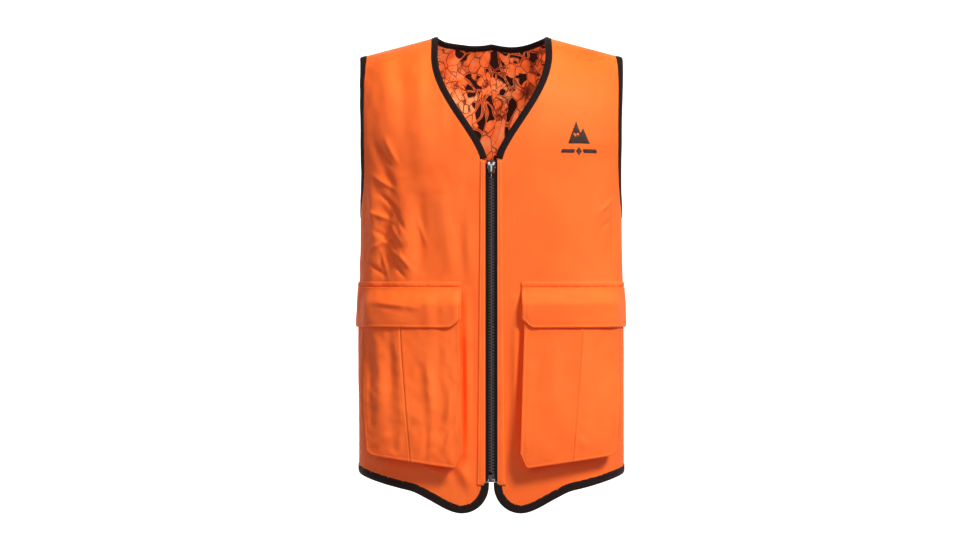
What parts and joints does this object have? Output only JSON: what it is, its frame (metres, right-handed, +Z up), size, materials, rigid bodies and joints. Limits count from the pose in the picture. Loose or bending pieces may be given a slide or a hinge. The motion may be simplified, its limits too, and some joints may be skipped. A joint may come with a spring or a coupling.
{
  "type": "blaze hunting vest",
  "caption": "Sleeveless V-neck blaze orange vest with a full-length separating zip, dark edge binding, printed lining and bellows pockets under flaps.",
  "frame": {"origin": "midway between the two shoulder seams, at the height of their neck ends, where the vest is carried", "axes": "+Z up; -Y to the wearer's front, with the zip in the plane x = 0; +X to the wearer's left"},
  "size_m": [0.4188, 0.2682, 0.7219],
  "materials": {
    "blaze_shell": "matt woven polyester",
    "lining_print": "printed light woven",
    "edge_binding": "matt ribbed tape",
    "zip_plastic": "moulded satin",
    "zip_tape": "woven tape",
    "slider_metal": "dull nickel plate",
    "touch_tape": "hook and loop pile",
    "emblem_thread": "satin stitch"
  },
  "bodies": {
    "back": {"back_shell": "blaze_shell", "back_lining": "lining_print", "neck_binding_back": "edge_binding", "hem_binding_back": "edge_binding", "armhole_binding_back_left": "edge_binding", "armhole_binding_back_right": "edge_binding"},
    "front_left": {"front_shell_left": "blaze_shell", "front_lining_left": "lining_print", "neck_binding_left": "edge_binding", "hem_binding_left": "edge_binding", "armhole_binding_front_left": "edge_binding", "zip_facing_left": "blaze_shell", "lining_facing_left": "lining_print", "zip_teeth_left": "zip_plastic", "zip_tape_left": "zip_tape", "zip_top_stop_left": "zip_plastic", "pocket_panel_inner_left": "blaze_shell", "pocket_panel_outer_left": "blaze_shell", "pocket_mouth_hem_left": "blaze_shell", "pocket_gusset_left": "blaze_shell", "loop_tape_left": "touch_tape", "flap_welt_left": "blaze_shell", "zip_insertion_pin": "zip_plastic", "chest_emblem": "emblem_thread"},
    "front_right": {"front_shell_right": "blaze_shell", "front_lining_right": "lining_print", "neck_binding_right": "edge_binding", "hem_binding_right": "edge_binding", "armhole_binding_front_right": "edge_binding", "zip_facing_right": "blaze_shell", "lining_facing_right": "lining_print", "zip_teeth_right": "zip_plastic", "zip_tape_right": "zip_tape", "zip_top_stop_right": "zip_plastic", "pocket_panel_inner_right": "blaze_shell", "pocket_panel_outer_right": "blaze_shell", "pocket_mouth_hem_right": "blaze_shell", "pocket_gusset_right": "blaze_shell", "loop_tape_right": "touch_tape", "flap_welt_right": "blaze_shell", "zip_retainer_box": "zip_plastic"},
    "flap_left": {"pocket_flap_left": "blaze_shell", "hook_tape_left": "touch_tape"},
    "flap_right": {"pocket_flap_right": "blaze_shell", "hook_tape_right": "touch_tape"},
    "slider": {"slider_body": "slider_metal"},
    "pull": {"pull_tab": "slider_metal"}
  },
  "joints": [
    {"name": "front_left_swing", "type": "hinge", "parent": "back", "child": "front_left", "pos_m": [0.2039, 0, -0.496], "axis": [0, 0, 1], "range_deg": [0, 50]},
    {"name": "front_right_swing", "type": "hinge", "parent": "back", "child": "front_right", "pos_m": [-0.2039, 0, -0.496], "axis": [0, 0, -1], "range_deg": [0, 50]},
    {"name": "slider_travel", "type": "slide", "parent": "front_right", "child": "slider", "axis": [0, 0, -1], "range_m": [0, 0.4502]},
    {"name": "pull_swing", "type": "hinge", "parent": "slider", "child": "pull", "pos_m": [0, -0.1158, -0.20625], "axis": [1, 0, 0], "range_deg": [0, 150]},
    {"name": "flap_left_lift", "type": "hinge", "parent": "front_left", "child": "flap_left", "pos_m": [0.14591, -0.10926, -0.385], "axis": [-0.8495, -0.5275, 0], "range_deg": [0, 150]},
    {"name": "flap_right_lift", "type": "hinge", "parent": "front_right", "child": "flap_right", "pos_m": [-0.14591, -0.10926, -0.385], "axis": [-0.8495, 0.5275, 0], "range_deg": [0, 150]}
  ]
}
